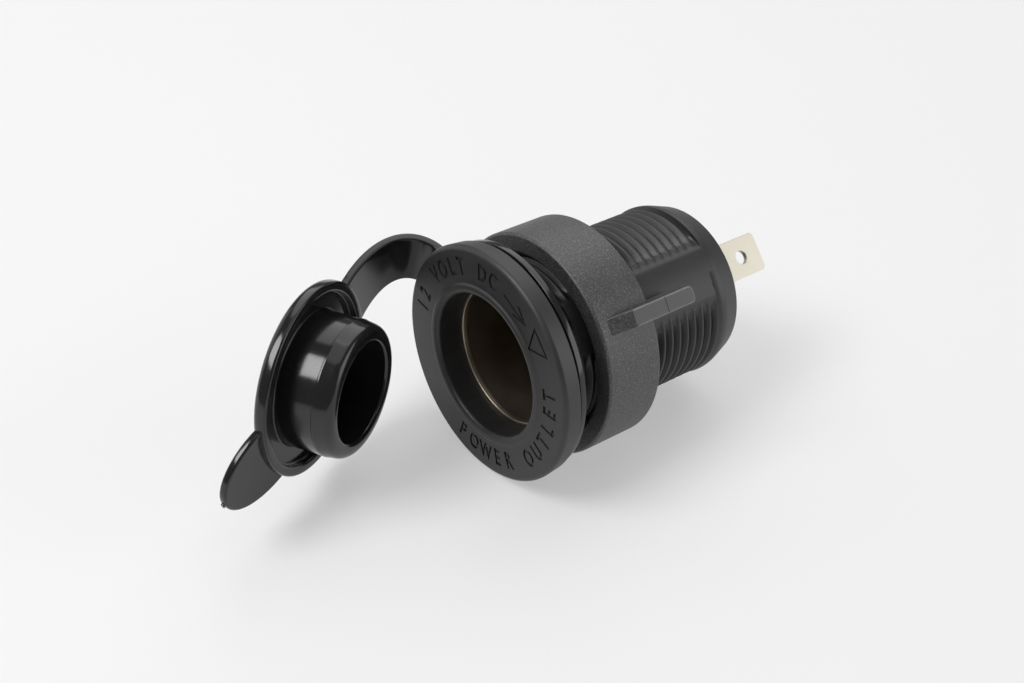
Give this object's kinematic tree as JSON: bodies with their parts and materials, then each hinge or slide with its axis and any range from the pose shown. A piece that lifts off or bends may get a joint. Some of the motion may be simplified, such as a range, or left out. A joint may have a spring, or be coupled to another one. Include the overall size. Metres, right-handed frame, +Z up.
{
  "type": "car 12v power socket",
  "caption": "Panel-mount 12 volt accessory socket: threaded barrel with bezel, ring nut with wing bars, metal-lined bore, blade terminals and a tethered rubber cap.",
  "frame": {"origin": "on the socket's axis, in the plane of the seat behind the bezel that clamps to a panel", "axes": "-Y out of the mouth, +Y to the blades at the rear, +Z up as the socket lies in the picture, +X to the right seen from the front"},
  "size_m": [0.0438, 0.0912, 0.0374],
  "materials": {
    "housing_plastic": "satin black moulded plastic",
    "nut_plastic": "grainy matt black moulded plastic",
    "soft_rubber": "glossy black soft rubber",
    "shell_metal": "drawn brass, dulled inside",
    "contact_brass": "pressed brass",
    "blade_metal": "tin-plated sheet",
    "insulator_fibre": "pressed fibre"
  },
  "bodies": {
    "socket": {"socket_housing": "housing_plastic", "contact_shell": "shell_metal", "insulator_bush": "insulator_fibre", "center_contact": "contact_brass", "center_rivet": "contact_brass", "insulator_washer": "insulator_fibre", "positive_blade": "blade_metal", "negative_blade": "blade_metal", "negative_rivet": "blade_metal"},
    "nut": {"mounting_nut": "nut_plastic"},
    "ring": {"cap_ring": "soft_rubber", "cap_strap": "soft_rubber"},
    "cap": {"cap": "soft_rubber"}
  },
  "joints": [
    {"name": "nut_travel", "type": "slide", "parent": "socket", "child": "nut", "axis": [0, 1, 0], "range_m": [-0.0037, 0.042]},
    {"name": "ring_swivel", "type": "hinge", "parent": "socket", "child": "ring", "pos_m": [0, 0.0014, 0], "axis": [0, 1, 0], "continuous": true},
    {"name": "cap_swing", "type": "hinge", "parent": "ring", "child": "cap", "pos_m": [-0.02405, -0.00344, 0], "axis": [-0.0371, -0.0324, 0.9988], "range_deg": [-70, 61.6], "stiffness_Nm_per_rad": 0.003, "deforming": ["cap_strap"]}
  ]
}
